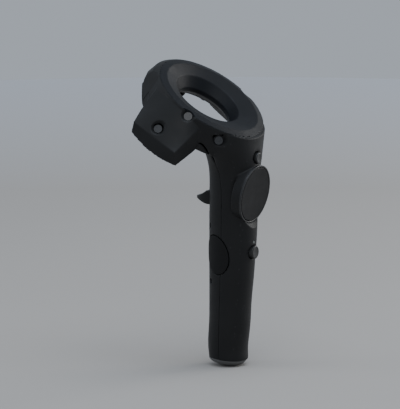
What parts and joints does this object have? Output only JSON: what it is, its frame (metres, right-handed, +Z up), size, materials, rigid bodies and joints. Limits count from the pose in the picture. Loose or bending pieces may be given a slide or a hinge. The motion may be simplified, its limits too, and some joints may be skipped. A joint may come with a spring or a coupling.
{
  "type": "motion controller",
  "caption": "One-hand motion controller with a ring-shaped tracking head, a round trackpad, push buttons, a hooked trigger and squeeze buttons on a tapering handle.",
  "frame": {"origin": "on the handle's axis, level with the lowest point of the butt", "axes": "+Z up the handle towards the ring head, -Y towards the thumb side with the trackpad, +Y towards the trigger, X across, with X = 0 the mirror plane"},
  "size_m": [0.117, 0.0877, 0.2133],
  "materials": {
    "housing_plastic": "fine matte texture",
    "bowl_plastic": "fine matte texture, slightly bluer",
    "pad_plastic": "smooth satin",
    "button_plastic": "smooth satin",
    "butt_plastic": "dark grey, satin",
    "window_plastic": "smooth, infrared-passing",
    "lens_plastic": "clear, unlit",
    "frame_plastic": "moulded",
    "steel": "machined",
    "magnet_metal": "nickel plated",
    "board_laminate": "solder resist",
    "chip_plastic": "moulded epoxy",
    "battery_foil": "satin foil"
  },
  "bodies": {
    "body": {"front_housing": "housing_plastic", "rear_housing": "housing_plastic", "bowl_cover": "bowl_plastic", "trackpad_bezel": "button_plastic", "butt_cap": "butt_plastic", "sensor_windows": "window_plastic", "status_lens": "lens_plastic", "light_emitter": "lens_plastic", "handle_frame": "frame_plastic", "trigger_bracket": "frame_plastic", "trackpad_carrier": "frame_plastic", "strap_pin": "steel", "charging_port": "steel", "trigger_pin": "steel", "trigger_spring": "steel", "head_screws": "steel", "handle_screws": "steel", "shield_can": "steel", "haptic_motor": "steel", "port_board": "board_laminate", "switch_riser": "board_laminate", "menu_board": "board_laminate", "main_board": "board_laminate", "sensor_board": "board_laminate", "trackpad_switch": "chip_plastic", "button_switches": "chip_plastic", "hall_sensor": "chip_plastic", "trigger_switch": "chip_plastic", "grip_switches": "chip_plastic", "processor": "chip_plastic", "photodiodes": "chip_plastic", "battery": "battery_foil"},
    "trackpad": {"trackpad_disc": "pad_plastic", "trackpad_board": "board_laminate"},
    "menu": {"menu_button": "button_plastic"},
    "system": {"system_button": "button_plastic"},
    "trigger_lever": {"trigger": "button_plastic", "trigger_magnet": "magnet_metal"},
    "left_grip": {"left_grip_button": "button_plastic"},
    "right_grip": {"right_grip_button": "button_plastic"}
  },
  "joints": [
    {"name": "trackpad_press", "type": "slide", "parent": "body", "child": "trackpad", "axis": [0, 0.9882, 0.153], "range_m": [0, 0.00045], "stiffness_N_per_m": 4000},
    {"name": "menu_press", "type": "slide", "parent": "body", "child": "menu", "axis": [0, 1, 0], "range_m": [0, 0.0005], "stiffness_N_per_m": 3000},
    {"name": "system_press", "type": "slide", "parent": "body", "child": "system", "axis": [0, 1, 0], "range_m": [0, 0.0005], "stiffness_N_per_m": 3000},
    {"name": "trigger_pull", "type": "hinge", "parent": "body", "child": "trigger_lever", "pos_m": [0, 0.0032, 0.1405], "axis": [-1, 0, 0], "range_deg": [0, 15], "stiffness_Nm_per_rad": 0.12, "springref_deg": -11.46},
    {"name": "left_grip_squeeze", "type": "slide", "parent": "body", "child": "left_grip", "axis": [1, 0, 0], "range_m": [0, 0.0007], "stiffness_N_per_m": 3000},
    {"name": "right_grip_squeeze", "type": "slide", "parent": "body", "child": "right_grip", "axis": [-1, 0, 0], "range_m": [0, 0.0007], "stiffness_N_per_m": 3000}
  ]
}
